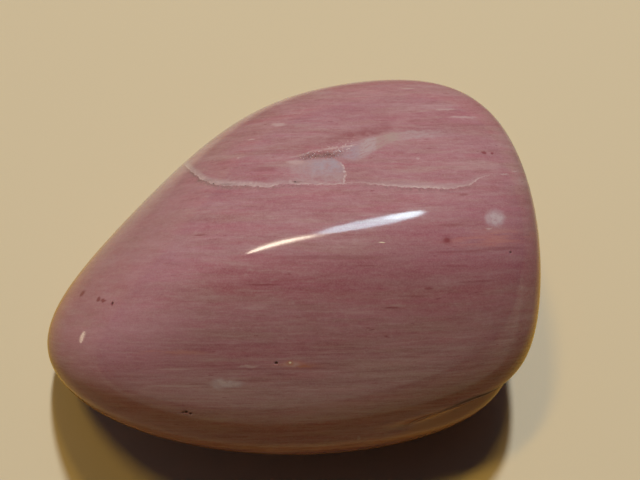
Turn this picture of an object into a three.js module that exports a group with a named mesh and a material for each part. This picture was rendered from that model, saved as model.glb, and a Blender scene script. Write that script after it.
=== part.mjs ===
// A tumbled and polished pebble of petrified wood, in millimetres, +Z up.
//
// The stone began as a broken chip. Tumbling wore its flat breaks until only broad, soft faces were
// left, so the form is built from those faces: each one is a plane that the surface leans towards,
// and a power sum blends them into one skin. A long hollow is pressed into the front flank, so that
// the blunt end overhangs a low ledge, and the stone rests on a flat worn under it.
//
// +X runs along the wood grain, towards the blunt end. +Y runs to the steep back.
// The origin is on the ground, below the point that the worn faces are measured from.
import * as THREE from "three";
import { mergeVertices } from "three/addons/utils/BufferGeometryUtils.js";

// Driving dimensions.
const CENTRE_HEIGHT = 12; // from the ground to the point that the worn faces are measured from
const ROUNDING = 6; // power of the blend: a lower one gives a rounder stone, a higher one sharper ridges
const HALF_SIZES = new THREE.Vector3(23, 18, 12); // rough half length, width and height, to space the mesh
const CELLS = 28; // mesh cells along each edge of the cube that the skin is wrapped from

// Each worn face: its bearing in degrees anticlockwise from +X, its tilt in degrees above the
// horizon, and its reach, the distance of its plane from the centre.
const WORN_FACES = [
  // round the girdle
  { bearing: 0, tilt: 0, reach: 24 }, // blunt end
  { bearing: 90, tilt: 0, reach: 23 }, // back
  { bearing: 133, tilt: 0, reach: 19 }, // long back slant
  { bearing: 215, tilt: 0, reach: 28.5 }, // narrow tip
  { bearing: 250, tilt: 0, reach: 21.5 }, // front, towards the tip
  { bearing: 285, tilt: 0, reach: 18.5 }, // front, towards the blunt end
  // crown
  { bearing: 30, tilt: 45, reach: 26 },
  { bearing: 110, tilt: 40, reach: 17 },
  { bearing: 150, tilt: 40, reach: 13 },
  { bearing: 200, tilt: 40, reach: 22 },
  { bearing: 240, tilt: 45, reach: 24.5 },
  { bearing: 280, tilt: 45, reach: 13.5 },
  { bearing: 330, tilt: 40, reach: 25 },
  { bearing: 90, tilt: 70, reach: 12 },
  { bearing: 270, tilt: 70, reach: 15 },
  // underside
  { bearing: 30, tilt: -40, reach: 20.5 },
  { bearing: 110, tilt: -40, reach: 17.5 },
  { bearing: 190, tilt: -40, reach: 28 },
  { bearing: 255, tilt: -40, reach: 17 },
  { bearing: 310, tilt: -40, reach: 23 },
  { bearing: 0, tilt: -90, reach: 13 },
];

// The hollow, as seen from the centre: where its middle lies, how many degrees its long axis dips
// towards the blunt end, its half length and half width in degrees, and its depth.
const HOLLOW = { bearing: 330, tilt: -6.5, dip: 8, halfLength: 20, halfWidth: 3.5, depth: 1.5 };

// Unit vector at a bearing and tilt.
function towards({ bearing, tilt }) {
  const azimuth = THREE.MathUtils.degToRad(bearing);
  const elevation = THREE.MathUtils.degToRad(tilt);
  return new THREE.Vector3(
    Math.cos(elevation) * Math.cos(azimuth),
    Math.cos(elevation) * Math.sin(azimuth),
    Math.sin(elevation),
  );
}

const faceNormals = WORN_FACES.map(towards);

// Distance from the centre to the blended skin of all worn faces, along a unit vector.
function skinReach(direction) {
  const sum = WORN_FACES.reduce((total, face, i) => {
    const lean = Math.max(0, faceNormals[i].dot(direction) / face.reach);
    return total + lean ** ROUNDING;
  }, 0);
  return sum ** (-1 / ROUNDING);
}

const hollowMiddle = towards(HOLLOW);
const hollowLengthwise = towards({ bearing: HOLLOW.bearing + 90, tilt: 0 })
  .applyAxisAngle(hollowMiddle, -THREE.MathUtils.degToRad(HOLLOW.dip));
const hollowCrosswise = hollowMiddle.clone().cross(hollowLengthwise);

// How far the hollow is pressed in, along a unit vector. It fades out softly all round.
function hollowDepth(direction) {
  if (direction.dot(hollowMiddle) < 0) return 0;
  const along = direction.dot(hollowLengthwise) / Math.sin(THREE.MathUtils.degToRad(HOLLOW.halfLength));
  const across = direction.dot(hollowCrosswise) / Math.sin(THREE.MathUtils.degToRad(HOLLOW.halfWidth));
  return HOLLOW.depth * Math.exp(-(along ** 2) - across ** 2);
}

// The skin is a cube of cells, swelled to a rough egg and then drawn out to its true reach. What
// would pass below the ground ends on it, in one flat.
function stoneGeometry() {
  const box = new THREE.BoxGeometry(2, 2, 2, CELLS, CELLS, CELLS);
  box.deleteAttribute("normal");
  box.deleteAttribute("uv");
  const geometry = mergeVertices(box);
  const position = geometry.getAttribute("position");
  const direction = new THREE.Vector3();
  for (let i = 0; i < position.count; i++) {
    direction.fromBufferAttribute(position, i);
    // equal angles between cells, instead of equal steps along the cube's edge
    direction.set(...direction.toArray().map((x) => Math.tan((x * Math.PI) / 4)));
    direction.normalize().multiply(HALF_SIZES).normalize();
    const toGround = direction.z < 0 ? -CENTRE_HEIGHT / direction.z : Infinity;
    const reach = skinReach(direction) - hollowDepth(direction);
    direction.multiplyScalar(Math.min(reach, toGround));
    direction.z = reach < toGround ? direction.z + CENTRE_HEIGHT : 0;
    position.setXYZ(i, ...direction.toArray());
  }
  geometry.computeVertexNormals();
  return geometry;
}

const polishedWood = new THREE.MeshStandardMaterial({
  color: 0xa07482,
  roughness: 0.12,
  metalness: 0,
});

const stone = new THREE.Mesh(stoneGeometry(), polishedWood);
stone.name = "stone";

const pebble = new THREE.Group();
pebble.add(stone);

export default pebble;
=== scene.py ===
"""Dresses a tumbled, polished pebble of petrified wood and sets it on a pale floor.

Lengths are in metres and the frame is the model's own: +X runs along the wood grain towards the
blunt end, +Y to the steep back, +Z up. The stone's patterns and marks are laid out in millimetres.
"""

import math

import bpy
import numpy as np
from bpy.props import FloatProperty, FloatVectorProperty, IntProperty, PointerProperty
from mathutils import Matrix, Vector


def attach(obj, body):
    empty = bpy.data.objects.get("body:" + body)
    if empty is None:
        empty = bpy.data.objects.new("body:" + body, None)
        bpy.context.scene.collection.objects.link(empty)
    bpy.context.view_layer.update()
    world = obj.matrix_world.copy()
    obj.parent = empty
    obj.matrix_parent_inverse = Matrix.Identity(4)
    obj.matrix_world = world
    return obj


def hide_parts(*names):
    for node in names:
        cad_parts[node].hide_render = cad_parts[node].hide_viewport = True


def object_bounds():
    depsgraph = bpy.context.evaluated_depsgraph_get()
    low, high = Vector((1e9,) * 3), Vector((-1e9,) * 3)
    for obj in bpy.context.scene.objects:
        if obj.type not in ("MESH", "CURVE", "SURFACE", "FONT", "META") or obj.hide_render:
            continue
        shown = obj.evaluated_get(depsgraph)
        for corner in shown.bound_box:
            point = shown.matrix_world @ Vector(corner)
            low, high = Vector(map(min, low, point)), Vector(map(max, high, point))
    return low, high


bl_info = {
    "name": "Petrified Wood Pebble",
    "version": (1, 0, 0),
    "blender": (4, 5, 0),
    "location": "3D Viewport > Sidebar > Pebble",
    "description": "Builds a polished pebble of petrified wood and the stage that it lies on",
    "category": "Add Mesh",
}

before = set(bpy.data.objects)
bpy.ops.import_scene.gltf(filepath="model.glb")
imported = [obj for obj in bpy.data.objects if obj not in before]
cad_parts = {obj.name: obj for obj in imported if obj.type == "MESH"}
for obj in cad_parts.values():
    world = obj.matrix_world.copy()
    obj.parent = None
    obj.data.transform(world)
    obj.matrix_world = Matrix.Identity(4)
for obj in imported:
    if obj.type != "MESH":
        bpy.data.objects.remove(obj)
CAD_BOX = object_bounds()
BODY = "root"
NODE = "stone"

MM = 0.001
PER_MM = 1 / MM


def colour_property(name, description, default):
    """A linear colour that a user may change."""
    return FloatVectorProperty(
        name=name, description=description, subtype="COLOR", size=3, min=0, max=1, default=default
    )


class PebbleStoneSettings(bpy.types.PropertyGroup):
    """Sizes and colours of the stone."""

    levels: IntProperty(
        name="Smoothing levels", description="Subdivisions of the worn skin", default=2, min=1, max=2
    )
    rose: colour_property("Rose", "Red band along the middle", (0.325, 0.12, 0.145))
    blush: colour_property("Blush", "Clearer pink beside the red band", (0.385, 0.185, 0.23))
    pink: colour_property("Pink", "Main colour of the wood", (0.365, 0.187, 0.23))
    olive: colour_property("Olive", "Duller side of the pink", (0.34, 0.185, 0.195))
    lilac: colour_property("Lilac", "Redder side of the pink", (0.37, 0.145, 0.19))
    # Partly the wood's own colour and partly painted light: a paler, bluer pink that brightens the tip's
    # slopes.
    tip_pink_and_light: colour_property("Petal", "Paler pink towards the tip", (0.46, 0.25, 0.33))
    wine: colour_property("Wine", "Deeper layers at the blunt end", (0.27, 0.08, 0.13))
    red: colour_property("Red", "Dark streaks and spots", (0.22, 0.055, 0.07))
    # Quartz is also the colour of one painted glint among the pale lines.
    quartz: colour_property("Quartz", "Vein and pale streaks", (0.5, 0.38, 0.4))
    smoke: colour_property("Smoke", "Clear grey quartz, and the vein's soft body", (0.42, 0.33, 0.36))
    slate: colour_property("Slate", "Bluer heart of the grey quartz", (0.36, 0.33, 0.41))
    shade: colour_property("Shade", "Broken edge of the quartz, and the line under it", (0.2, 0.13, 0.13))
    # Crystal also paints the sparkle: white specks for glints on the crack's crystals.
    crystal_and_sparkle: colour_property("Crystal", "Bright edges of the vein and the grey quartz", (0.62, 0.52, 0.53))
    chalk: colour_property("Chalk", "Bruises in the polish", (0.5, 0.44, 0.5))
    filling: colour_property("Filling", "Beige quartz in the smear", (0.39, 0.29, 0.29))
    salmon: colour_property("Salmon", "Pale orange streaks", (0.5, 0.23, 0.2))
    rust: colour_property("Rust", "Orange spots", (0.42, 0.16, 0.09))
    # Painted highlights: glints of tiny scratches in the polish.
    painted_glint: colour_property("Glint", "Bright crystals", (0.8, 0.75, 0.6))
    # Painted light: the warm glow of light that the floor throws up onto the ledge under the crease.
    painted_ledge_glow: colour_property("Amber", "Warm brown ledge under the crease", (0.55, 0.33, 0.18))
    # Dirt and shade: dirt and painted shade at the bottom of the pits, and painted shade along the crease.
    dirt_and_shade: colour_property("Dirt", "Bottom of the pits and of the crease", (0.06, 0.03, 0.03))
    gloss: FloatProperty(
        name="Polish", description="Roughness of the polished skin", default=0.08, min=0, max=1
    )


class PebbleStageSettings(bpy.types.PropertyGroup):
    """The floor, the lights and the camera."""

    floor: colour_property("Floor", "Pale matt floor", (0.63, 0.57, 0.41))
    bounce: colour_property("Bounce", "Light that the floor throws back onto the stone", (0.55, 0.38, 0.17))
    shine: colour_property("Shine", "The floor beside the stone as its polish shows it", (0.58, 0.39, 0.07))
    dusk: colour_property("Dusk", "The same further away", (0.24, 0.18, 0.1))
    sky: colour_property("Sky", "Soft light from the back left", (0.1, 0.1, 0.13))
    ambient: colour_property("Ambient", "Light of the dim room", (0.013, 0.0095, 0.011))
    wall: colour_property("Wall", "Pale wall that the polish reflects", (0.5, 0.5, 0.36))
    lens: FloatProperty(
        name="Focal length", description="Lens on a 36 mm sensor, in millimetres", default=60, unit="CAMERA"
    )
    elevation: FloatProperty(
        name="Elevation",
        description="Camera's angle above the floor",
        default=math.radians(65),
        subtype="ANGLE",
    )
    distance: FloatProperty(
        name="Distance", description="From the aim to the camera", default=0.1016, unit="LENGTH"
    )
    aim: FloatVectorProperty(
        name="Aim",
        description="What the camera looks at, from the middle of the stone",
        size=3,
        default=(0.0032, 0.0013, 0),
        subtype="TRANSLATION",
        unit="LENGTH",
    )


# Node helpers.


# The Mix node's sockets for its factor and two colours, and for its mixed colour.
MIX_INPUTS = (0, 6, 7)
MIX_OUTPUT = 2


def node(tree, kind, inputs=None, **settings):
    """Adds a node. inputs maps a socket's name or number to a value, or to the output that feeds it."""
    made = tree.nodes.new(kind)
    for name, value in settings.items():
        setattr(made, name, value)
    for key, value in (inputs or {}).items():
        if isinstance(value, bpy.types.NodeSocket):
            tree.links.new(value, made.inputs[key])
        else:
            made.inputs[key].default_value = value
    return made


def maths(tree, operation, *values):
    """The result of a Math node."""
    return node(tree, "ShaderNodeMath", dict(enumerate(values)), operation=operation).outputs[0]


def times(tree, *values):
    """The product of all values."""
    product = values[0]
    for value in values[1:]:
        product = maths(tree, "MULTIPLY", product, value)
    return product


def vector_maths(tree, operation, *values):
    """The vector that a Vector Math node gives, or its number for a length or a dot product."""
    outputs = node(tree, "ShaderNodeVectorMath", dict(enumerate(values)), operation=operation).outputs
    return outputs["Value" if operation in ("LENGTH", "DOT_PRODUCT") else "Vector"]


def fade(tree, value, start, end, low=0.0, high=1.0, straight=False):
    """low where value is at start or before it, high at end or past it, and smooth or straight between."""
    inputs = {"Value": value, "From Min": start, "From Max": end, "To Min": low, "To Max": high}
    kind = "LINEAR" if straight else "SMOOTHSTEP"
    return node(tree, "ShaderNodeMapRange", inputs, interpolation_type=kind).outputs[0]


def mix(tree, factor, first, second):
    """The first colour where the factor is 0, and the second where it is 1."""
    made = node(tree, "ShaderNodeMix", data_type="RGBA", blend_type="MIX")
    sockets = [made.inputs[index] for index in MIX_INPUTS]
    for socket, value in zip(sockets, (factor, first, second)):
        if isinstance(value, bpy.types.NodeSocket):
            tree.links.new(value, socket)
        else:
            socket.default_value = value
    return made.outputs[MIX_OUTPUT]


def noise(tree, place, size, detail=2.0, rough=0.5):
    """Soft noise around 0.5, whose lumps are about size across."""
    inputs = {"Vector": place, "Scale": 1 / size, "Detail": detail, "Roughness": rough}
    return node(tree, "ShaderNodeTexNoise", inputs).outputs["Fac"]


def new_material(name):
    """A new material that holds a shader and an output, with its node tree and the shader."""
    material = bpy.data.materials.new(name)
    material.use_nodes = True
    tree = material.node_tree
    tree.nodes.clear()
    shader = node(tree, "ShaderNodeBsdfPrincipled")
    node(tree, "ShaderNodeOutputMaterial", {"Surface": shader.outputs[0]})
    return material, tree, shader


def rgba(colour):
    """A colour property's value with its alpha."""
    return (*colour, 1.0)


# The stone.


# The wood's layers run along X, lean forward as they rise and curve forward at the blunt end.
LEAN = 0.4
BEND = 0.003
BEND_START = 6.0

# Below, a table of pairs gives a value at each of several places along the layers, unless its comment
# says otherwise, and a lone pair is where a change starts and where it is whole. Strengths have no unit.

# The wood's colours at places across the layers, and the ends of the ramp that holds them.
BANDS = ((-9, "pink"), (-4, "pink"), (0, "blush"), (3.2, "rose"), (6, "pink"), (24, "pink"))
BANDS_START = -9.0
BANDS_END = 24.0

# Where the redder heart of the rose band starts along the layers, and starts and ends across them.
ROSY_ALONG = (-8.0, 4.0)
ROSY_FROM = (0.5, 3.5)
ROSY_TO = (6.5, 4.0)
ROSY_STRENGTH = 0.5

# Where the paler pink of the tip starts and is whole along the layers, and the size of its streaks.
# That pink is partly the wood's own and partly painted light that brightens the slopes of the tip.
PALER_ALONG = (-4.0, -12.0)
PALER_SIZE = (3, 1.2, 3)
PALER_STRENGTH = 0.6

# Where the deeper wood of the blunt end starts along the layers, and how that slants across them. Then
# where it starts and ends across them.
DEEPER_ALONG = (-8.0, 0.0)
DEEPER_SLANT = -1.6
DEEPER_FROM = (2.2, 3.6)
DEEPER_TO = (12.5, 10.5)
DEEPER_STRENGTH = 0.33

# Where the layers of the front start and are whole, across the layers.
CALM = (1.0, -4.0)

# How far the layers sway and wave, and the length, thickness and width of each.
SWAY = 4.0
SWAY_SIZE = (24, 3, 12)
WAVES = 0.3
WAVES_SIZE = (4, 1.6, 4)

# The middle of the noise's values, and where most of them lie.
NOISE_MIDDLE = 0.5
NOISE_SPREAD = (0.35, 0.65)

# Streaks that turn the pink olive or lilac: each one's length, thickness and width, and its strength.
# TINTS_APART is how far from the layers' part of the noise they are read, so that the two differ, and
# the last two pairs are the values of the noise.
TINTS = (((14, 3, 10), 0.5), ((9, 1.5, 7), 0.8), ((5, 0.6, 4), 0.6), ((1.8, 0.3, 1.8), 0.35))
TINTS_APART = (40, 0, 0)
OLIVE_VALUES = (0.5, 0.72)
LILAC_VALUES = (0.5, 0.28)

# Pale and dark red streaks: each one's length, thickness and width, its strength at the front, and its
# strength elsewhere. At the front the pale ones keep the share PALE_AT_FRONT of that.
LAYERS = (
    ((26, 1.3, 9), 0.3, 0.0),
    ((9, 0.5, 5), 0.42, 0.0),
    ((4.5, 0.25, 3), 0.55, 0.08),
    ((8, 1.4, 7), 0.0, 0.28),
    ((4, 0.55, 4), 0.0, 0.22),
    ((1.8, 0.24, 1.8), 0.28, 0.18),
    ((0.8, 0.14, 0.8), 0.22, 0.14),
    ((0.5, 0.4, 0.5), 0.12, 0.14),
)
PALE_VALUES = (0.5, 0.75)
DARK_VALUES = (0.5, 0.25)
PALE_AT_FRONT = 0.6

# Short red dashes, long red fibres and pale speckles: their size, the values of their noise and their
# strength.
DASH_SIZE = (1.1, 0.2, 0.7)
DASH_VALUES = (0.72, 0.8)
DASH_STRENGTH = 0.6
FIBRE_SIZE = (3.5, 0.14, 1.5)
FIBRE_VALUES = (0.66, 0.78)
FIBRE_STRENGTH = 0.5
SPECKLE_SIZE = 0.13
SPECKLE_VALUES = (0.3, 0.8)
SPECKLE_STRENGTH = 0.2

# How far the edges of the quartz stray, and the size of that. Then the same where the vein is torn, and
# where the crack and the smear are.
JAG = 0.3
JAG_SIZE = 1.1
VEIN_TORN = 0.5
VEIN_TORN_SIZE = 0.4
CRACK_TORN = 0.7
CRACK_TORN_SIZE = 0.6

# The vein's lower edge: its place across the layers.
VEIN = (
    (-13, 18.8), (-9.5, 15.35), (-8.6, 14.45), (-7.4, 13.5), (-5.9, 12.9), (-3, 12.65), (-1.5, 12.52),
    (-0.4, 12.78), (1.2, 12.73), (4.8, 12.76), (5.7, 12.9), (8, 12.65), (12.2, 12.27), (15.7, 12.42),
    (16.5, 12.95), (21, 13.9),
)

# The width and the strength of the vein's soft body, then of its heart.
BODY_WIDTH = ((-13, 1.2), (-9, 1.1), (-6, 0.8), (-2, 0.8), (2, 0.5), (7, 0.5), (10, 0.8), (17, 0.6))
BODY_STRENGTH = (
    (-13, 0.5), (-8, 0.55), (-1.5, 0.4), (0.5, 0.1), (6.5, 0.15), (9, 0.45), (13, 0.45), (16, 0.25),
    (18, 0),
)
HEART_WIDTH = (
    (-13, 0.5), (-8.5, 0.6), (-6, 0.55), (-3, 0.48), (-1.2, 0.35), (0, 0.2), (5, 0.12), (9, 0.2),
    (12.5, 0.3), (17, 0.14),
)
HEART_STRENGTH = (
    (-13, 0.3), (-9.6, 0.9), (-8.4, 1.4), (-7, 0.9), (-1.2, 1.0), (-0.3, 0.4), (5, 0.4), (6.5, 0.2),
    (8, 0.7), (12.5, 1.1), (15.5, 0.5), (18, 0),
)

# The strength of the vein's bright lower edge, and of the dark line under it.
EDGE_STRENGTH = (
    (-13, 0.2), (-9, 0.9), (-8, 0.8), (-6, 0.2), (-2.5, 0.3), (-1.5, 1.0), (-0.5, 0.3), (1, 0.6),
    (4.5, 0.7), (5.5, 0.25), (7, 0.25), (9, 0.6), (12.3, 0.8), (14, 0.4), (15.7, 0.6), (18.5, 0),
)
UNDER_STRENGTH = (
    (-10, 0.3), (-9, 0.8), (-6, 0.75), (-3, 0.4), (-0.3, 0.6), (1, 0.6), (2, 0.15), (6, 0.15),
    (8, 0.4), (15, 0.35), (17, 0),
)

# The window of grey quartz over the vein: its top across the layers, how it fades round that, its
# slanting start, which is a place along the layers less the place across them, its end along the layers
# at places across them, its strength, that of its bluer heart, and that of its bright broken end.
WINDOW_TOP = 15.4
WINDOW_TOP_EDGE = (0.25, -0.3)
WINDOW_START = (-15.3, -14.0)
WINDOW_END = ((12, 4.9), (14.4, 4.98), (15, 4.7), (15.4, 4.2), (16, 3.4))
WINDOW_STRENGTH = ((-2.5, 0.1), (-0.6, 0.25), (1, 0.6), (3, 0.8), (5, 0.75))
BLUE_STRENGTH = ((0.4, 0), (1.8, 0.3), (2.6, 0.7), (4.2, 0.75), (5, 0.4))
LIP_STRENGTH = 0.8

# The crack behind the window: its place across the layers, the strength of the red wood behind it, of
# the pale line along it and of the painted sparkle, white specks for glints of the crystals, on that.
CRACK = (
    (-3, 13.2), (-1.4, 14.3), (-0.3, 15.4), (1.1, 15.8), (2.2, 16.25), (3.8, 16.55), (5.7, 16.85),
    (8, 17.6),
)
RED_STRENGTH = ((0, 0), (3, 0.3), (8, 0.5), (10, 0))
LINE_STRENGTH = ((-0.5, 0), (0.6, 0.25), (3, 0.3), (4.4, 0.5), (5.7, 0.45), (6.4, 0))
SPARKLE_STRENGTH = ((2.6, 0), (3.9, 0.5), (4.5, 0.8), (5.6, 0.8), (6.1, 0))

# The crack's broken edge: its place across the layers and the strength of its shade.
BROKEN = ((-0.8, 15.15), (0.5, 15.45), (2, 15.75), (3.2, 15.87), (4.2, 15.85), (5.2, 16.1))
BROKEN_STRENGTH = ((0, 0), (1.2, 0.3), (2.2, 0.5), (3.9, 0.55), (4.7, 0.25), (5.3, 0))

# The smear past the window: its middle across the layers, its half width, its strength, its colours
# along the layers, the ends of the ramp that holds them, and the size of the streaks that it flows in.
SMEAR = (
    (4, 15.8), (6, 16.25), (6.8, 16.55), (7.5, 17.0), (8.2, 17.3), (9.1, 17.7), (10, 17.9), (12, 18.05),
    (15, 18.15),
)
SMEAR_SPREAD = (
    (4, 0.5), (5.1, 0.85), (6.8, 1.05), (7.5, 0.95), (8.2, 0.8), (9.1, 0.65), (11, 0.55), (15, 0.5)
)
SMEAR_STRENGTH = (
    (4, 0), (5.1, 0.5), (6.2, 0.75), (6.8, 1.3), (7.6, 1.3), (8.0, 1.2), (9.3, 1.1), (10.5, 0.8),
    (12.5, 0.75), (14, 0.4), (16, 0),
)
SMEAR_TINTS = (
    (5.8, "slate"), (6.7, "smoke"), (7.7, "smoke"), (8.1, "filling"), (9.4, "filling"), (10.8, "smoke")
)
SMEAR_START = 4.0
SMEAR_END = 12.0
FLOW_SIZE = (1.1, 0.22, 1.0)

# The crease under the blunt end: its height above the floor, and the strength of the painted shade along
# it.
CREASE = (
    (5, 10.6), (8.2, 11.0), (10.3, 11.1), (12.2, 11.7), (14.4, 12.3), (16.2, 12.5), (18.3, 11.9),
    (21, 10.6),
)
CREASE_SHADE_STRENGTH = ((8, 0), (12, 0.35), (16, 0.8), (18.5, 0.8), (20.5, 0))

# Where the front starts and is whole along Y, where the ledge under the crease does so below it, above
# the floor and along the layers, and how strong its painted glow is: a warm glow of bounced light painted
# on.
FRONT = (-6.0, -8.0)
LEDGE_BELOW = (0.2, 1.2)
LEDGE_HEIGHT = (5.0, 8.0)
LEDGE_ALONG = (6.0, 14.0)
LEDGE_GLOW_STRENGTH = 0.75

# Marks on the skin: each is a place, its half length along the layers and its half width across them,
# and a slant where it leans from across the layers.
BRUISES = (
    ((17.6, 0.47, 22.65), 0.8, 0.8),
    ((17.85, 0.6, 22.5), 1.0, 0.95),
    ((-5.55, -12.8, 18.35), 0.75, 0.6),
    ((-4.9, -12.8, 18.3), 1.6, 0.4),
)
PALE_MARKS = (
    ((-3.09, -11.59, 19.34), 1.0, 0.16),
    ((0.5, -11.34, 19.12), 0.7, 0.3),
    ((16.2, 12.6, 19.3), 1.6, 0.16),
    ((14.6, 13.6, 19.0), 1.2, 0.14),
    ((-3.43, 10.13, 19.4), 0.4, 0.13),
    ((-4.48, 7.74, 20.29), 0.14, 0.14),
    ((-0.99, 11.85, 19.2), 0.8, 0.25),
    ((6.33, -15.58, 11.27), 0.2, 0.35),
    ((0.7, 6.3, 22.05), 0.9, 0.28),
    ((0.31, 3.84, 23.01), 0.2, 0.22),
    ((17.18, -0.52, 22.74), 0.35, 0.12),
    ((19.26, 5.65, 20.99), 0.6, 0.08),
    ((20.36, 6.48, 20.04), 0.5, 0.08),
    ((11.5, 6.62, 22.1), 0.22, 0.15),
)
PALE_LINES_AND_GLINT = (
    ((-9.4, -12.95, 18.2), 2.4, 0.1),
    ((-9.3, -11.6, 18.7), 1.6, 0.08),
    # The last one is a painted glint, a highlight of a scratch in the polish.
    ((11.33, 16.93, 17.44), 0.7, 0.1),
)
# Painted glints: highlights of tiny scratches in the polish.
PAINTED_GLINTS = (((0.39, -11.25, 19.25), 0.13, 0.1), ((8.03, -2.34, 23.86), 0.3, 0.05))
SALMON_SPOTS = (((0.6, -11.36, 19.15), 1.2, 0.45),)
SALMON_MARKS = (
    ((1.0, -11.45, 19.0), 2.6, 0.4),
    ((17.2, -1.6, 22.4), 3.2, 0.6),
    ((17.6, -1.2, 22.2), 5.0, 0.9),
    ((-9.5, -10.3, 19.2), 3.5, 0.3),
)
RED_SPOTS = (
    ((-18.89, -2.69, 13.53), 0.42, 0.4, 0.3),
    ((-16.61, -4.64, 16.93), 0.36, 0.3),
    ((-16.0, -5.05, 17.7), 0.5, 0.2, -0.8),
    ((-14.92, -5.84, 19.0), 0.12, 0.3),
    ((17.57, 7.95, 20.83), 0.3, 0.24),
    ((18.33, 8.0, 20.58), 0.18, 0.16),
    ((13.5, -1.9, 23.36), 0.32, 0.28),
)
GREY_MARKS = (
    ((-9.3, 7.4, 18.3), 0.5, 0.3),
    ((-7.6, 5.5, 20.1), 1.2, 0.16),
    ((-5.4, 4.3, 21.6), 1.0, 0.12),
    ((0.9, 3.8, 23.05), 0.6, 0.12),
)
RED_LINES = (
    ((11.95, -5.7, 22.0), 0.45, 0.14),
    ((-1.8, -5.9, 23.3), 1.6, 0.11),
    ((-7.2, -1.25, 23.0), 0.7, 0.1),
    ((8.8, -7.2, 21.45), 0.8, 0.11),
)
FAINT_RED_LINES = (
    ((18.55, -1.99, 21.89), 2.6, 0.2),
    ((13.5, -1.9, 23.36), 0.6, 0.55),
    ((14.2, -3.9, 22.6), 1.4, 0.14),
    ((6.6, -4.2, 23.3), 1.0, 0.12),
    ((16.2, -4.9, 21.6), 2.2, 0.12),
    ((10.4, -6.4, 22.0), 1.6, 0.1),
    ((13.88, -0.53, 23.46), 1.3, 0.15),
    ((15.22, 2.61, 22.95), 0.5, 0.14),
    ((-2.1, 5.6, 22.1), 1.2, 0.3),
    ((14.5, -2.75, 22.9), 3.0, 0.13),
    ((0.0, -11.65, 18.9), 6.5, 0.13),
    ((4.0, -3.6, 23.6), 6.0, 0.25),
)
RUST_MARKS = (((0.39, -11.3, 19.2), 0.4, 0.3), ((1.5, -11.45, 18.9), 0.8, 0.14))

# The smaller marks in the order that they are laid: their strength, their colour, and whether their
# outline is ragged and not only gently uneven. Then the strength of the other marks, and the size of
# the streaks that break up the salmon.
STAINS = (
    (SALMON_SPOTS, 0.45, "salmon", True),
    (PALE_MARKS, 0.6, "quartz", True),
    (PALE_LINES_AND_GLINT, 0.5, "quartz", False),
    (FAINT_RED_LINES, 0.35, "red", False),
    (GREY_MARKS, 0.4, "shade", True),
    (RED_LINES, 0.6, "red", False),
    (RED_SPOTS, 0.85, "red", True),
    (RUST_MARKS, 0.6, "rust", True),
)
SALMON_STRENGTH = 0.42
SALMON_SIZE = (3, 0.3, 2)
BRUISE_STRENGTH = 0.75
PIT_STRENGTH = 0.8

# A mark's soft edge, as shares of its size. Then how far a ragged outline strays in all, how often that
# repeats in a millimetre, and the share of it that a gently uneven outline strays.
SPOT_EDGE = (1.2, 0.4)
RAGGED = 0.35
RAGGED_SCALE = 1.8
GENTLE = 0.3

# Pits: each is a place and its radius. Then their depth over their radius, how far round them the skin
# is refined, in radii, and how often.
PITS = (
    ((-0.77, -11.33, 19.32), 0.15),
    ((-14.92, -5.84, 19.0), 0.14),
    ((19.11, -2.19, 21.52), 0.13),
    ((-8.7, -14.65, 16.15), 0.1),
    ((-8.45, -14.6, 16.2), 0.15),
    ((-8.1, -14.7, 16.05), 0.12),
    ((-6.55, 4.79, 20.87), 0.1),
    ((-3.6, 3.75, 22.45), 0.08),
    ((0.74, 3.82, 23.05), 0.1),
)
PIT_STEEPNESS = 0.8
PIT_REFINED = 3
PIT_CUTS = 2

# How far the harder layers stand out in the polish, their size, and how much more a bruise does.
RELIEF = 0.0005
RELIEF_SIZE = (1.5, 0.3, 1.0)
BRUISE_RELIEF = 3.0

# How much duller the polish is in the bruises, the pits and the crease, and the stone's refraction.
BRUISE_DULL = 0.25
PIT_DULL = 0.5
CREASE_DULL = 0.8
QUARTZ_IOR = 1.54

# The groove of the broken edge: its middle and half length along the layers, its half width, its
# greatest depth, the share of that at its left end, and the half widths round it where the skin is
# refined. Then the size of the crystals in it, and the height that the whole groove stays above.
BROKEN_MIDDLE = 2.8
BROKEN_HALF_LENGTH = 2.2
BROKEN_HALF_WIDTH = 0.42
BROKEN_DEPTH = 0.2
BROKEN_SHALLOW = 0.15
BROKEN_REFINED = (1.6, 1.0, 0.7)
CRYSTAL_SIZE = 0.16
BROKEN_ABOVE = 12

# Vertices of the model's skin that are closer than this are one.
SEAM = 0.002


def grain_point(place):
    """A place in millimetres as its distances along the layers, across them and within them."""
    x, y, z = place
    return x, y + LEAN * z - BEND * np.maximum(x - BEND_START, 0) ** 2, z - LEAN * y


def grain_space(tree, place):
    """The nodes' form of grain_point."""
    split = node(tree, "ShaderNodeSeparateXYZ", {0: place}).outputs
    beyond = maths(tree, "MAXIMUM", maths(tree, "SUBTRACT", split["X"], BEND_START), 0.0)
    bend = maths(tree, "MULTIPLY", maths(tree, "POWER", beyond, 2.0), BEND)
    across = maths(tree, "SUBTRACT", maths(tree, "MULTIPLY_ADD", split["Z"], LEAN, split["Y"]), bend)
    within = maths(tree, "MULTIPLY_ADD", split["Y"], -LEAN, split["Z"])
    return node(tree, "ShaderNodeCombineXYZ", {0: split["X"], 1: across, 2: within}).outputs[0]


def scaled(tree, place, scale):
    """A place whose three parts are multiplied by a scale."""
    return node(tree, "ShaderNodeMapping", {"Vector": place, "Scale": scale}).outputs[0]


def streaks(tree, grain, size, detail=2.0, rough=0.5):
    """Noise drawn out along the layers: size is its length, thickness and width."""
    return noise(tree, scaled(tree, grain, [1 / side for side in size]), 1.0, detail, rough)


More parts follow.
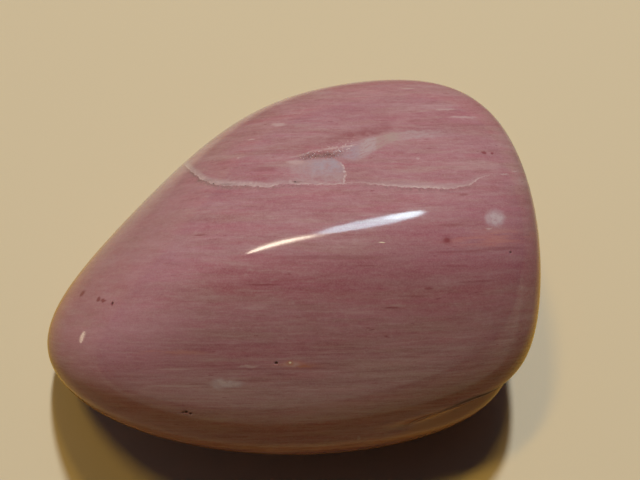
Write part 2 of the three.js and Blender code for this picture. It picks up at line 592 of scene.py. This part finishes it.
def ramp(tree, look, value, start, end, stops):
    """Colours, by their names, at places between start and end, with smooth steps between them."""
    made = node(tree, "ShaderNodeValToRGB", {0: fade(tree, value, start, end, straight=True)})
    elements = made.color_ramp.elements
    made.color_ramp.interpolation = "EASE"
    for element in list(elements)[1:]:
        elements.remove(element)
    for index, (position, colour) in enumerate(stops):
        element = elements[0] if index == 0 else elements.new(1.0)
        element.position = (position - start) / (end - start)
        element.color = rgba(getattr(look, colour))
    return made.outputs[0]


def curve(tree, value, points):
    """The height of a smooth line through points, each a value and the height there."""
    made = node(tree, "ShaderNodeFloatCurve", {"Value": value})
    made.mapping.use_clip = False
    line = made.mapping.curves[0]
    for _ in points[2:]:
        line.points.new(0, 0)
    for point, place in zip(line.points, points):
        point.location = place
    made.mapping.update()
    return made.outputs[0]


def spot(tree, axes, place, length, width, slant=0.0):
    """1 inside a spot of the skin and 0 outside it. A slant makes it lean from across the layers."""
    depth = 2 * max(length, width)
    along, across, within = (
        maths(tree, "DIVIDE", maths(tree, "SUBTRACT", axis, start), size)
        for axis, start, size in zip(axes, grain_point(place), (length, width, depth))
    )
    along = maths(tree, "MULTIPLY_ADD", across, -slant * width / length, along)
    away = node(tree, "ShaderNodeCombineXYZ", {0: along, 1: across, 2: within}).outputs[0]
    return fade(tree, vector_maths(tree, "LENGTH", away), *SPOT_EDGE)


def spots(tree, grain, marks):
    """All spots of one kind together."""
    axes = node(tree, "ShaderNodeSeparateXYZ", {0: grain}).outputs
    total = 0.0
    for mark in marks:
        total = maths(tree, "MAXIMUM", spot(tree, axes, *mark), total)
    return total


def mottle(tree, place, size, low=0.35):
    """Uneven strength, from low to 1, in patches about size across."""
    return fade(tree, noise(tree, place, size, detail=3.0, rough=0.6), *NOISE_SPREAD, low, 1.0)


def uneven(tree, place, size, detail, rough):
    """Noise that goes about as far below 0 as above it."""
    return maths(tree, "SUBTRACT", noise(tree, place, size, detail, rough), NOISE_MIDDLE)


def uneven_streaks(tree, grain, size, detail=2.0, rough=0.5):
    """Streaks that go about as far below 0 as above it."""
    return maths(tree, "SUBTRACT", streaks(tree, grain, size, detail, rough), NOISE_MIDDLE)


def stain(tree, colour, mask, tint):
    """Lays a tint over a colour where a mask says. Each is laid before the next one's mask is made."""
    return mix(tree, mask, colour, tint if isinstance(tint, bpy.types.NodeSocket) else rgba(tint))


def wood_colour(tree, look, place, grain):
    """Bands and streaks of the wood itself."""
    along, across, _ = node(tree, "ShaderNodeSeparateXYZ", {0: grain}).outputs
    calm = fade(tree, across, *CALM)

    sway = maths(tree, "MULTIPLY", uneven_streaks(tree, grain, SWAY_SIZE), SWAY)
    swayed = maths(tree, "ADD", across, sway)
    colour = ramp(tree, look, swayed, BANDS_START, BANDS_END, BANDS)
    rosy = times(
        tree,
        fade(tree, along, *ROSY_ALONG),
        fade(tree, swayed, *ROSY_FROM),
        fade(tree, swayed, *ROSY_TO),
    )
    colour = stain(tree, colour, times(tree, rosy, ROSY_STRENGTH), look.rose)

    wave = maths(tree, "MULTIPLY", uneven_streaks(tree, grain, WAVES_SIZE, detail=3.0, rough=0.55), WAVES)
    wave = node(tree, "ShaderNodeCombineXYZ", {1: wave}).outputs[0]
    wavy = vector_maths(tree, "ADD", wave, grain)
    for size, strength in TINTS:
        layer = streaks(tree, vector_maths(tree, "ADD", wavy, TINTS_APART), size)
        colour = stain(tree, colour, fade(tree, layer, *OLIVE_VALUES, 0.0, strength), look.olive)
        colour = stain(tree, colour, fade(tree, layer, *LILAC_VALUES, 0.0, strength), look.lilac)
    for size, front, elsewhere in LAYERS:
        layer = streaks(tree, wavy, size, detail=3.0, rough=0.6)
        strength = fade(tree, calm, 0.0, 1.0, elsewhere, front, straight=True)
        pale = fade(tree, layer, *PALE_VALUES)
        pale = times(tree, pale, strength, fade(tree, calm, 0.0, 1.0, 1.0, PALE_AT_FRONT))
        dark = times(tree, fade(tree, layer, *DARK_VALUES), strength)
        colour = stain(tree, colour, pale, look.quartz)
        colour = stain(tree, colour, dark, look.red)

    dashes = streaks(tree, wavy, DASH_SIZE, detail=1.0)
    colour = stain(tree, colour, fade(tree, dashes, *DASH_VALUES, 0.0, DASH_STRENGTH), look.red)
    fibres = streaks(tree, wavy, FIBRE_SIZE)
    colour = stain(tree, colour, fade(tree, fibres, *FIBRE_VALUES, 0.0, FIBRE_STRENGTH), look.red)
    # Paler pink towards the tip, partly painted light on those slopes.
    paler = fade(tree, along, *PALER_ALONG)
    paler = times(tree, paler, streaks(tree, grain, PALER_SIZE), PALER_STRENGTH)
    colour = stain(tree, colour, paler, look.tip_pink_and_light)
    deeper = fade(tree, maths(tree, "MULTIPLY_ADD", across, DEEPER_SLANT, along), *DEEPER_ALONG)
    deeper = (deeper, fade(tree, across, *DEEPER_FROM), fade(tree, across, *DEEPER_TO))
    colour = stain(tree, colour, times(tree, *deeper, DEEPER_STRENGTH), look.wine)
    speckles = noise(tree, place, SPECKLE_SIZE, detail=1.0)
    speckles = fade(tree, speckles, *SPECKLE_VALUES, 0.0, SPECKLE_STRENGTH)
    return stain(tree, colour, speckles, look.quartz)


def vein_stains(tree, look, colour, place, rise, along):
    """The pale vein: its soft body, its heart, its bright lower edge and the dark line under that."""
    # Fades are soft edges, in millimetres above the lower edge or in widths of the body and the heart.
    torn = uneven(tree, place, VEIN_TORN_SIZE, detail=3.0, rough=0.65)
    torn = maths(tree, "MULTIPLY_ADD", torn, VEIN_TORN, rise)
    above = fade(tree, torn, -0.05, 0.07)

    width = curve(tree, along, BODY_WIDTH)
    body = fade(tree, maths(tree, "DIVIDE", rise, width), 1.0, 0.3)
    body = times(tree, above, body, curve(tree, along, BODY_STRENGTH))
    colour = stain(tree, colour, body, look.smoke)

    width = curve(tree, along, HEART_WIDTH)
    heart = fade(tree, maths(tree, "DIVIDE", rise, width), 1.4, 0.4)
    knots = (mottle(tree, place, 0.5, low=0.3), mottle(tree, place, 0.2, low=0.4))
    heart = times(tree, above, heart, *knots, curve(tree, along, HEART_STRENGTH))
    colour = stain(tree, colour, heart, look.quartz)

    edge = fade(tree, torn, 0.18, 0.04)
    knots = mottle(tree, place, 0.6, low=0.1)
    edge = times(tree, above, edge, knots, curve(tree, along, EDGE_STRENGTH))
    colour = stain(tree, colour, edge, look.crystal_and_sparkle)

    under = (fade(tree, rise, -0.6, -0.1), fade(tree, torn, 0.04, -0.08))
    dots = mottle(tree, place, 0.25, low=0.0)
    under = times(tree, *under, dots, curve(tree, along, UNDER_STRENGTH))
    return stain(tree, colour, under, look.shade)


def window_stains(tree, look, colour, place, rise, along, across, jag):
    """The window of clear grey quartz over the vein, its bluer heart and its bright broken end."""
    # How far a place is past the window's end, along from its slanting start, and across, all jagged.
    past = maths(tree, "MULTIPLY_ADD", jag, 1.5, along)
    past = maths(tree, "SUBTRACT", past, curve(tree, across, WINDOW_END))
    start = maths(tree, "SUBTRACT", along, across)
    start = maths(tree, "MULTIPLY_ADD", noise(tree, place, 0.9, detail=3.0), 1.0, start)
    top = maths(tree, "MULTIPLY_ADD", jag, 2.5, across)
    patch = times(
        tree,
        fade(tree, rise, 0.0, 0.1),
        fade(tree, past, 0.06, -0.1),
        fade(tree, start, *WINDOW_START),
        fade(tree, top, *[WINDOW_TOP + edge for edge in WINDOW_TOP_EDGE]),
    )

    clouds = (mottle(tree, place, 0.8, low=0.45), mottle(tree, place, 0.25, low=0.6))
    window = times(tree, patch, *clouds, curve(tree, along, WINDOW_STRENGTH))
    colour = stain(tree, colour, window, look.smoke)

    clouds = (mottle(tree, place, 0.6, low=0.35), mottle(tree, place, 0.2, low=0.7))
    inside = fade(tree, across, 13.2, 14.5)
    heart = times(tree, patch, *clouds, inside, curve(tree, along, BLUE_STRENGTH))
    colour = stain(tree, colour, heart, look.slate)

    # The lip lies just short of the end.
    lip = maths(tree, "ABSOLUTE", maths(tree, "ADD", past, 0.06))
    lip = (fade(tree, lip, 0.16, 0.04), fade(tree, rise, 0.0, 0.1), fade(tree, across, 15.3, 14.6))
    lip = times(tree, *lip, mottle(tree, place, 0.25, low=0.0), LIP_STRENGTH)
    return stain(tree, colour, lip, look.crystal_and_sparkle)


def crack_stains(tree, look, colour, place, along, across, jag):
    """The red wood behind the crack, the smear past it, its broken edge, its pale line and painted sparkle.
    """
    # Fades are soft edges, in millimetres from each line or in half widths of the smear.
    behind = maths(tree, "MAXIMUM", curve(tree, along, CRACK), curve(tree, along, SMEAR))
    behind = maths(tree, "SUBTRACT", across, behind)
    behind = (fade(tree, behind, 0.2, 0.7), fade(tree, behind, 2.2, 1.0), mottle(tree, place, 1.2))
    behind = times(tree, *behind, curve(tree, along, RED_STRENGTH))
    colour = stain(tree, colour, behind, look.red)

    ragged = uneven(tree, place, CRACK_TORN_SIZE, detail=3.0, rough=0.6)
    ragged = maths(tree, "MULTIPLY_ADD", ragged, CRACK_TORN, across)
    smear = maths(tree, "SUBTRACT", ragged, curve(tree, along, SMEAR))
    flow = node(tree, "ShaderNodeCombineXYZ", {0: along, 1: smear}).outputs[0]
    flow = fade(tree, streaks(tree, flow, FLOW_SIZE, detail=3.0, rough=0.65), 0.35, 0.6, 0.35, 1.0)
    smear = maths(tree, "ABSOLUTE", smear)
    smear = maths(tree, "DIVIDE", smear, curve(tree, along, SMEAR_SPREAD))
    smear = fade(tree, smear, 1.25, 0.45)
    clouds = mottle(tree, place, 0.22, low=0.8)
    smear = times(tree, smear, flow, clouds, curve(tree, along, SMEAR_STRENGTH))
    tint = ramp(tree, look, along, SMEAR_START, SMEAR_END, SMEAR_TINTS)
    colour = stain(tree, colour, smear, tint)

    broken = maths(tree, "ABSOLUTE", maths(tree, "SUBTRACT", ragged, curve(tree, along, BROKEN)))
    broken = (fade(tree, broken, 0.42, 0.15), mottle(tree, place, 0.2))
    broken = times(tree, *broken, curve(tree, along, BROKEN_STRENGTH))
    colour = stain(tree, colour, broken, look.shade)

    line = maths(tree, "MULTIPLY_ADD", jag, 0.6, across)
    line = maths(tree, "SUBTRACT", line, curve(tree, along, CRACK))
    line = maths(tree, "ABSOLUTE", line)
    pale = (fade(tree, line, 0.16, 0.04), mottle(tree, place, 0.5, low=0.2))
    pale = times(tree, *pale, curve(tree, along, LINE_STRENGTH))
    colour = stain(tree, colour, pale, look.crystal_and_sparkle)

    # Painted sparkle: white specks that stand for glints on the crystals.
    painted_sparkle = noise(tree, place, 0.2, detail=1.0)
    painted_sparkle = (fade(tree, painted_sparkle, 0.56, 0.72), fade(tree, line, 0.9, 0.1))
    painted_sparkle = times(tree, *painted_sparkle, curve(tree, along, SPARKLE_STRENGTH))
    return stain(tree, colour, painted_sparkle, look.crystal_and_sparkle)


def wood_material(look):
    """Polished petrified wood: layers of pink, mauve and red, a quartz vein and its marks."""
    material, tree, shader = new_material("polished_wood")
    place = scaled(tree, node(tree, "ShaderNodeTexCoord").outputs["Object"], (PER_MM,) * 3)
    grain = grain_space(tree, place)
    ragged = {"Vector": place, "Scale": RAGGED_SCALE, "Detail": 2.0}
    ragged = node(tree, "ShaderNodeTexNoise", ragged).outputs["Color"]
    centred = vector_maths(tree, "SUBTRACT", grain, (RAGGED / 2,) * 3)
    ragged = vector_maths(tree, "MULTIPLY_ADD", ragged, (RAGGED,) * 3, centred)
    colour = wood_colour(tree, look, place, grain)

    along, across, _ = node(tree, "ShaderNodeSeparateXYZ", {0: grain}).outputs
    jag = maths(tree, "MULTIPLY", uneven(tree, place, JAG_SIZE, detail=4.0, rough=0.65), JAG)
    rise = maths(tree, "ADD", maths(tree, "SUBTRACT", across, curve(tree, along, VEIN)), jag)
    gentle = vector_maths(tree, "SUBTRACT", ragged, grain)
    gentle = vector_maths(tree, "MULTIPLY_ADD", gentle, (GENTLE,) * 3, grain)
    salmon = spots(tree, ragged, SALMON_MARKS)
    streaky = fade(tree, streaks(tree, grain, SALMON_SIZE), *NOISE_SPREAD)
    colour = stain(tree, colour, times(tree, salmon, streaky, SALMON_STRENGTH), look.salmon)
    colour = vein_stains(tree, look, colour, place, rise, along)
    colour = window_stains(tree, look, colour, place, rise, along, across, jag)
    colour = crack_stains(tree, look, colour, place, along, across, jag)

    bruises = times(tree, spots(tree, gentle, BRUISES), mottle(tree, place, 0.5, low=0.65))
    colour = stain(tree, colour, times(tree, bruises, BRUISE_STRENGTH), look.chalk)
    for marks, strength, tint, is_ragged in STAINS:
        mask = times(tree, spots(tree, ragged if is_ragged else gentle, marks), strength)
        colour = stain(tree, colour, mask, getattr(look, tint))
    # The pits are darkened with dirt and with painted shade.
    pits = spots(tree, grain, [(pit, radius, radius) for pit, radius in PITS])
    colour = stain(tree, colour, times(tree, pits, PIT_STRENGTH), look.dirt_and_shade)

    axes = node(tree, "ShaderNodeSeparateXYZ", {0: place}).outputs
    below = maths(tree, "SUBTRACT", curve(tree, along, CREASE), axes["Z"])
    front = fade(tree, axes["Y"], *FRONT)
    # The crease is darkened with painted shade, where the overhanging lobe shades the hollow.
    crease_shade = fade(tree, maths(tree, "ABSOLUTE", below), 0.5, 0.05)
    crease_shade = times(tree, crease_shade, front, curve(tree, along, CREASE_SHADE_STRENGTH))
    colour = stain(tree, colour, crease_shade, look.dirt_and_shade)
    # A painted warm glow of bounced light on the ledge.
    glow_on_ledge = (fade(tree, below, *LEDGE_BELOW), fade(tree, axes["Z"], *LEDGE_HEIGHT))
    glow_on_ledge = times(tree, *glow_on_ledge, front, fade(tree, along, *LEDGE_ALONG))
    colour = stain(tree, colour, times(tree, glow_on_ledge, LEDGE_GLOW_STRENGTH), look.painted_ledge_glow)
    # The glints are painted highlights.
    colour = stain(tree, colour, spots(tree, gentle, PAINTED_GLINTS), look.painted_glint)
    tree.links.new(colour, shader.inputs["Base Color"])

    dull = maths(tree, "MAXIMUM", times(tree, bruises, BRUISE_DULL), times(tree, pits, PIT_DULL))
    dull = maths(tree, "MAXIMUM", dull, times(tree, crease_shade, CREASE_DULL))
    tree.links.new(maths(tree, "ADD", dull, look.gloss), shader.inputs["Roughness"])
    shader.inputs["IOR"].default_value = QUARTZ_IOR

    layers = streaks(tree, grain, RELIEF_SIZE)
    chips = times(tree, bruises, mottle(tree, place, 0.2, low=0.0), BRUISE_RELIEF)
    relief = maths(tree, "ADD", layers, chips)
    bump = node(tree, "ShaderNodeBump", {"Height": relief, "Distance": RELIEF * MM})
    tree.links.new(bump.outputs[0], shader.inputs["Normal"])
    return material


def skin_points(stone):
    """Every vertex's place in millimetres, one row each."""
    points = np.empty(3 * len(stone.data.vertices))
    stone.data.vertices.foreach_get("co", points)
    return points.reshape(-1, 3) * PER_MM


def ball(stone, place, radius):
    """How deep each vertex lies in a ball round a place: 1 in its middle and 0 outside it."""
    away = np.linalg.norm(skin_points(stone) - place, axis=1)
    return np.clip(1 - away / radius, 0, 1)


def trench(stone, half_width):
    """How deep each vertex lies in the crack's broken edge: 1 along its middle and 0 outside it."""
    points = skin_points(stone)
    along, across, _ = grain_point(points.T)
    side = np.abs(across - np.interp(along, *zip(*BROKEN))) / half_width
    ends = np.abs(along - BROKEN_MIDDLE) / BROKEN_HALF_LENGTH
    left_end = BROKEN_MIDDLE - BROKEN_HALF_LENGTH
    shallow = np.interp(along, (left_end, BROKEN_MIDDLE), (BROKEN_SHALLOW, 1))
    on_top = points[:, 2] > BROKEN_ABOVE
    return np.clip(1 - side, 0, 1) * np.clip(2 - 2 * ends, 0, 1) * shallow * on_top


def refine(stone, inside, cuts):
    """Divides the faces round some vertices."""
    bpy.ops.object.mode_set(mode="EDIT")
    bpy.ops.mesh.select_mode(type="VERT")
    bpy.ops.mesh.select_all(action="DESELECT")
    bpy.ops.object.mode_set(mode="OBJECT")
    stone.data.vertices.foreach_set("select", inside > 0)
    bpy.ops.object.mode_set(mode="EDIT")
    for _ in range(cuts):
        bpy.ops.mesh.subdivide(number_cuts=1, smoothness=1)
    bpy.ops.object.mode_set(mode="OBJECT")


def press(stone, weights, depth, texture=None):
    """Presses the skin in by a depth, in millimetres, where weights says. Their root makes it round."""
    group = stone.vertex_groups.new(name="pressed")
    for index in np.nonzero(weights)[0]:
        group.add([int(index)], float(weights[index]) ** 0.5, "REPLACE")
    pressing = stone.modifiers.new("Pressing", "DISPLACE")
    pressing.vertex_group = group.name
    pressing.mid_level = 0
    pressing.strength = -depth * MM
    pressing.texture = texture
    bpy.ops.object.modifier_apply(modifier=pressing.name)
    stone.vertex_groups.clear()


def crystal_texture():
    """Coarse crystals that break up the crack's edge."""
    crystals = bpy.data.textures.new("crystals", "CLOUDS")
    crystals.noise_scale = CRYSTAL_SIZE * MM
    crystals.noise_depth = 1
    crystals.contrast = 2
    return crystals


class PEBBLE_OT_stone(bpy.types.Operator):
    """Make the polished stone from the model's skin"""

    bl_idname = "pebble.stone"
    bl_label = "Polished Stone"

    def execute(self, context):
        look = context.scene.pebble_stone
        bpy.ops.object.select_all(action="DESELECT")
        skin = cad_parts[NODE]
        stone = bpy.data.objects.new("polished_stone", skin.data.copy())
        context.scene.collection.objects.link(stone)
        stone.data.materials.clear()
        stone.select_set(True)
        context.view_layer.objects.active = stone
        bpy.ops.object.mode_set(mode="EDIT")
        bpy.ops.mesh.select_all(action="SELECT")
        bpy.ops.mesh.remove_doubles(threshold=SEAM * MM)
        bpy.ops.mesh.tris_convert_to_quads(face_threshold=math.pi, shape_threshold=math.pi)
        bpy.ops.object.mode_set(mode="OBJECT")
        smoothing = stone.modifiers.new("Smoothing", "SUBSURF")
        smoothing.levels = look.levels
        smoothing.render_levels = look.levels
        bpy.ops.object.modifier_apply(modifier=smoothing.name)
        for half_width in BROKEN_REFINED:
            refine(stone, trench(stone, half_width), 1)
        press(stone, trench(stone, BROKEN_HALF_WIDTH), BROKEN_DEPTH, crystal_texture())
        near_pits = [ball(stone, place, PIT_REFINED * radius) for place, radius in PITS]
        refine(stone, np.max(near_pits, axis=0), PIT_CUTS)
        for place, radius in PITS:
            press(stone, ball(stone, place, radius), PIT_STEEPNESS * radius)
        bpy.ops.object.shade_smooth()
        stone.data.materials.append(wood_material(look))
        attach(stone, BODY)
        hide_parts(NODE)
        return {"FINISHED"}


# The stage.


# Lamps round the stone: each one's name, the bearing and tilt of its first and last ends, its width,
# all in degrees, its distance in metres, its watts and colour, and whether only the polish shows it or
# it only lights the scene.
LAMPS = (
    ("window", (77, 60), (84, 60), 5, 1, 7.1, (0.86, 0.91, 1.0), False),
    ("left_bulb", (120, 71), (150, 71), 5, 1, 2.2, (1, 0.62, 0.12), False),
    ("right_bulb", (68, 68), (84, 68), 4, 1, 1.6, (1, 0.62, 0.12), False),
    ("window_glint", (82.5, 68.5), (69.5, 49.5), 5.8, 1, 0.95, (0.62, 0.88, 1), True),
    ("window_core", (72.4, 57.3), (68.8, 49.6), 4.6, 1, 0.26, (0.75, 0.93, 1), True),
    ("tip_glint", (176.4, -8.4), (182.6, -6.8), 2.2, 0.044, 0.00005, (1, 0.9, 0.6), True),
    ("bulb_glint", (133, 74), (84, 69.5), 3.2, 1, 0.68, (1, 0.92, 0.72), True),
    ("bulb_glow", (133, 74), (80, 68), 7, 1, 0.3, (1, 0.85, 0.6), True),
)

# Bearing and tilt of the soft light, in degrees, and how squarely a direction faces it where that light
# starts and is whole. Then where the pale wall does so, by a direction's Y and Z.
SKY = (125, 28)
SKY_FACING = (0.2, 0.9)
WALL_Y = (-0.6, -0.97)
WALL_Z = (0.5, 0.1)

# The floor's side in metres, and its roughness.
FLOOR_SIZE = 4
FLOOR_ROUGHNESS = 0.7

# How the polish shows the floor. Each pair is where a change starts and where it is whole: along X or Y
# in metres, or away from the stone's middle in its half lengths and half widths. The glow in front ends
# behind the middle. The dusk starts further away behind the stone, and beside its blunt end. The pale
# wall shows past the blunt end in front, where WALL_SLANT, per metre of X, brings it nearer.
GLOW_END = (0.0, 0.02)
DUSK_AWAY = (0.9, 1.7)
BEHIND_Y = (0.013, 0.032)
BEHIND_X = (-0.034, -0.015)
BEHIND_MORE = 0.8
BESIDE_X = (0.02, 0.035)
BESIDE_MORE = 0.4
WALL_AWAY = (3.6, 4.2)
WALL_SLANT = 29.0
WALL_FRONT = (-0.02, -0.04)

# The camera's bearing in degrees, and how near it still sees, in metres.
CAMERA_BEARING = -90
CLIP_START = 0.001


def from_bearing(bearing, tilt):
    """Unit vector at a bearing from +X and a tilt above the floor, both in degrees."""
    azimuth = math.radians(bearing)
    height = math.radians(tilt)
    level = math.cos(height)
    return Vector((level * math.cos(azimuth), level * math.sin(azimuth), math.sin(height)))


def lamp(middle, name, first, last, width, distance, watts, colour, glints):
    """An oval area lamp that points at the middle of the stone, as a row of LAMPS says."""
    ends = [from_bearing(*end) * distance for end in (first, last)]
    away = (ends[0] + ends[1]) / 2
    along = ends[1] - ends[0]
    light = bpy.data.lights.new(name, "AREA")
    light.shape = "ELLIPSE"
    light.size = along.length
    light.size_y = 2 * distance * math.tan(math.radians(width / 2))
    light.energy = watts
    light.color = colour
    made = bpy.data.objects.new(name, light)
    outward = away.normalized()
    sideways = outward.cross(along.normalized())
    turned = Matrix((along.normalized(), sideways, outward)).transposed()
    made.matrix_world = Matrix.Translation(middle + away) @ turned.to_4x4()
    made.visible_diffuse = not glints
    made.visible_glossy = glints
    made.visible_camera = False
    bpy.context.scene.collection.objects.link(made)


def room_world(look):
    """A dim room with soft light on one side, and a pale wall low in front that only reflections show."""
    world = bpy.data.worlds.new("room")
    world.use_nodes = True
    tree = world.node_tree
    place = node(tree, "ShaderNodeTexCoord").outputs["Generated"]
    heading = node(tree, "ShaderNodeSeparateXYZ", {0: place}).outputs
    wall = times(tree, fade(tree, heading["Y"], *WALL_Y), fade(tree, heading["Z"], *WALL_Z))
    shown = times(tree, wall, node(tree, "ShaderNodeLightPath").outputs["Is Glossy Ray"])
    side = vector_maths(tree, "DOT_PRODUCT", place, from_bearing(*SKY))
    sky = mix(tree, fade(tree, side, *SKY_FACING), rgba(look.ambient), rgba(look.sky))
    sky = mix(tree, node(tree, "ShaderNodeLightPath").outputs["Is Glossy Ray"], sky, rgba(look.ambient))
    light = mix(tree, shown, sky, rgba(look.wall))
    tree.links.new(light, tree.nodes["Background"].inputs["Color"])
    return world


def floor_material(look, middle, half):
    """A matt floor that has other colours in the light it throws back and in the stone's polish."""
    material, tree, shader = new_material("pale_floor")
    shader.inputs["Roughness"].default_value = FLOOR_ROUGHNESS
    rays = node(tree, "ShaderNodeLightPath").outputs
    place = node(tree, "ShaderNodeTexCoord").outputs["Object"]
    away = vector_maths(tree, "SUBTRACT", place, middle)
    away = vector_maths(tree, "DIVIDE", away, (half.x, half.y, 1))
    away = vector_maths(tree, "LENGTH", away)
    split = node(tree, "ShaderNodeSeparateXYZ", {0: place}).outputs
    shine = mix(tree, fade(tree, split["Y"], *GLOW_END), rgba(look.shine), rgba(look.floor))

    behind = (fade(tree, split["Y"], *BEHIND_Y), fade(tree, split["X"], *BEHIND_X))
    behind = times(tree, *behind, BEHIND_MORE)
    beside = times(tree, fade(tree, split["X"], *BESIDE_X), BESIDE_MORE)
    near = maths(tree, "SUBTRACT", away, maths(tree, "MAXIMUM", behind, beside))
    shine = mix(tree, fade(tree, near, *DUSK_AWAY), shine, rgba(look.dusk))

    wall = fade(tree, maths(tree, "MULTIPLY_ADD", split["X"], WALL_SLANT, away), *WALL_AWAY)
    wall = times(tree, wall, fade(tree, split["Y"], *WALL_FRONT))
    shine = mix(tree, wall, shine, rgba(look.wall))
    colour = mix(tree, rays["Is Glossy Ray"], rgba(look.bounce), shine)
    colour = mix(tree, rays["Is Camera Ray"], colour, rgba(look.floor))
    tree.links.new(colour, shader.inputs["Base Color"])
    return material


class PEBBLE_OT_stage(bpy.types.Operator):
    """Make the floor, the lights and the camera"""

    bl_idname = "pebble.stage"
    bl_label = "Stage"

    def execute(self, context):
        look = context.scene.pebble_stage
        low, high = CAD_BOX
        middle = (low + high) / 2
        bpy.ops.object.select_all(action="DESELECT")
        bpy.ops.mesh.primitive_plane_add(size=FLOOR_SIZE, location=(0, 0, low.z))
        floor = context.object
        floor.name = "floor"
        bpy.ops.object.transform_apply()
        floor.data.materials.append(floor_material(look, middle, (high - low) / 2))

        back = from_bearing(CAMERA_BEARING, math.degrees(look.elevation))
        camera = bpy.data.objects.new("camera", bpy.data.cameras.new("camera"))
        camera.data.lens = look.lens
        camera.data.clip_start = CLIP_START
        camera.location = middle + Vector(look.aim) + back * look.distance
        camera.rotation_mode = "QUATERNION"
        camera.rotation_quaternion = (-back).to_track_quat("-Z", "Y")
        context.scene.collection.objects.link(camera)
        context.scene.camera = camera

        for row in LAMPS:
            lamp(middle, *row)
        context.scene.world = room_world(look)
        context.scene.view_settings.view_transform = "Standard"
        return {"FINISHED"}


class PEBBLE_PT_panel(bpy.types.Panel):
    """Lists the pieces"""

    bl_label = "Petrified Wood Pebble"
    bl_idname = "PEBBLE_PT_panel"
    bl_space_type = "VIEW_3D"
    bl_region_type = "UI"
    bl_category = "Pebble"

    def draw(self, context):
        for settings in (context.scene.pebble_stone, context.scene.pebble_stage):
            box = self.layout.box()
            for name in settings.bl_rna.properties.keys():
                if name not in ("rna_type", "name"):
                    box.prop(settings, name)
        self.layout.operator(PEBBLE_OT_stone.bl_idname)
        self.layout.operator(PEBBLE_OT_stage.bl_idname)


CLASSES = (
    PebbleStoneSettings,
    PebbleStageSettings,
    PEBBLE_OT_stone,
    PEBBLE_OT_stage,
    PEBBLE_PT_panel,
)


def register():
    for made in CLASSES:
        bpy.utils.register_class(made)
    bpy.types.Scene.pebble_stone = PointerProperty(type=PebbleStoneSettings)
    bpy.types.Scene.pebble_stage = PointerProperty(type=PebbleStageSettings)


def unregister():
    del bpy.types.Scene.pebble_stage
    del bpy.types.Scene.pebble_stone
    for made in reversed(CLASSES):
        bpy.utils.unregister_class(made)


def main():
    register()
    bpy.ops.pebble.stone()
    bpy.ops.pebble.stage()


if __name__ == "__main__":
    main()
